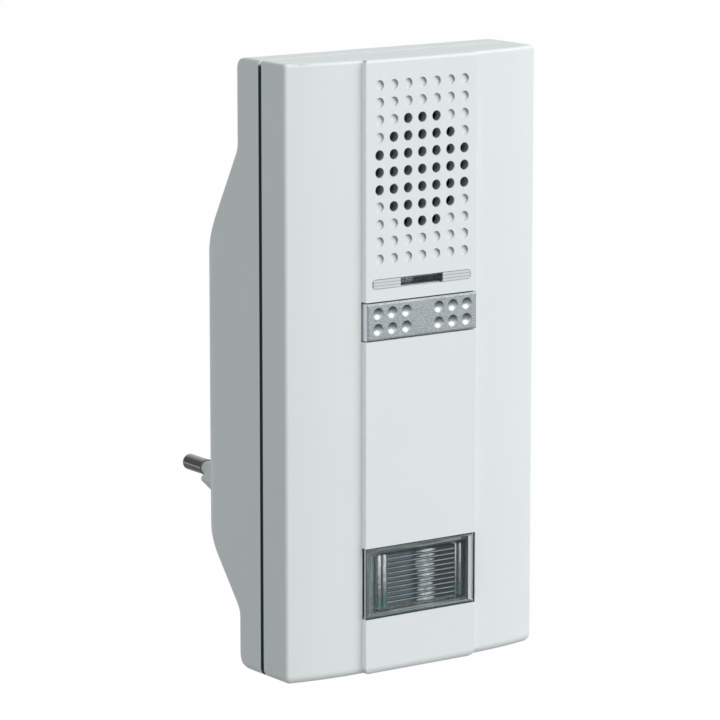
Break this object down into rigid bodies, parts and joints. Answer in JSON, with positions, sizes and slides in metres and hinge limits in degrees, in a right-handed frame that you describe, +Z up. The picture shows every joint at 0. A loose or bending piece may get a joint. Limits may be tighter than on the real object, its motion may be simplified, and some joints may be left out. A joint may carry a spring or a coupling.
{
  "type": "plug-in doorbell chime box",
  "caption": "White plug-in doorbell chime with a raised front spine, speaker grille, light bar, dimpled silver rocker key, ribbed flash lens and a two-pin mains plug behind.",
  "frame": {"origin": "centre of the plug's end face, midway between the two pins", "axes": "+Y out of the plug along its pins, towards the wall; +Z up; the front faces -Y and +X is to the right as seen from the front"},
  "size_m": [0.0708, 0.0869, 0.1437],
  "materials": {
    "white_case": "satin moulded ABS",
    "dark_seal": "matt",
    "screw_steel": "zinc plated",
    "clear_plastic": "clear moulded polycarbonate",
    "led_body": "milky",
    "silver_key": "silver paint with a fine metal fleck",
    "switch_body": "matt",
    "lamp_glass": "clear glass tube",
    "lamp_metal": "plain",
    "bright_metal": "polished",
    "speaker_steel": "black coated",
    "speaker_rubber": "matt",
    "speaker_paper": "pulp",
    "copper_wire": "enamelled copper",
    "magnet": "ferrite",
    "tag_board": "phenolic board",
    "lead_sleeve": "PVC",
    "green_board": "solder mask",
    "chip_black": "epoxy",
    "tin_can": "tinned",
    "contact_brass": "plain",
    "tan_board": "paper laminate",
    "ferrite": "sintered",
    "bobbin_plastic": "natural nylon",
    "capacitor_sleeve": "shrink sleeve",
    "resistor_body": "lacquered",
    "pin_metal": "nickel plated",
    "pin_sleeve": "insulating sleeve"
  },
  "bodies": {
    "root": {"front_cover": "white_case", "rear_case": "white_case", "parting_gasket": "dark_seal", "case_screws": "screw_steel", "light_bar": "clear_plastic", "indicator_led": "led_body", "key_switches": "switch_body", "flash_lens": "clear_plastic", "flash_tube": "lamp_glass", "tube_caps": "lamp_metal", "flash_reflector": "bright_metal", "speaker_gasket": "dark_seal", "speaker_basket": "speaker_steel", "speaker_surround": "speaker_rubber", "speaker_cone": "speaker_paper", "speaker_dust_cap": "speaker_paper", "voice_coil": "copper_wire", "speaker_magnet": "magnet", "speaker_yoke": "speaker_steel", "speaker_tag": "tag_board", "speaker_leads": "lead_sleeve", "speaker_screws": "screw_steel", "main_board": "green_board", "main_board_screws": "screw_steel", "control_chips": "chip_black", "receiver_board": "green_board", "receiver_can": "tin_can", "antenna_wire": "copper_wire", "link_header": "chip_black", "link_pins": "contact_brass", "power_board": "tan_board", "power_board_screws": "screw_steel", "transformer_core": "ferrite", "transformer_bobbin": "bobbin_plastic", "transformer_winding": "copper_wire", "flash_capacitor": "capacitor_sleeve", "filter_capacitors": "capacitor_sleeve", "rectifier_diodes": "chip_black", "fuse_resistor": "resistor_body", "trigger_coil": "bobbin_plastic", "plug_pins": "pin_metal", "pin_sleeves": "pin_sleeve", "pin_contacts": "contact_brass"},
    "key": {"key_bar": "silver_key"}
  },
  "joints": [
    {"name": "key_rock", "type": "hinge", "parent": "root", "child": "key", "pos_m": [0, -0.0629, 0.04815], "axis": [0, 0, 1], "range_deg": [-2, 2], "stiffness_Nm_per_rad": 0.4}
  ]
}
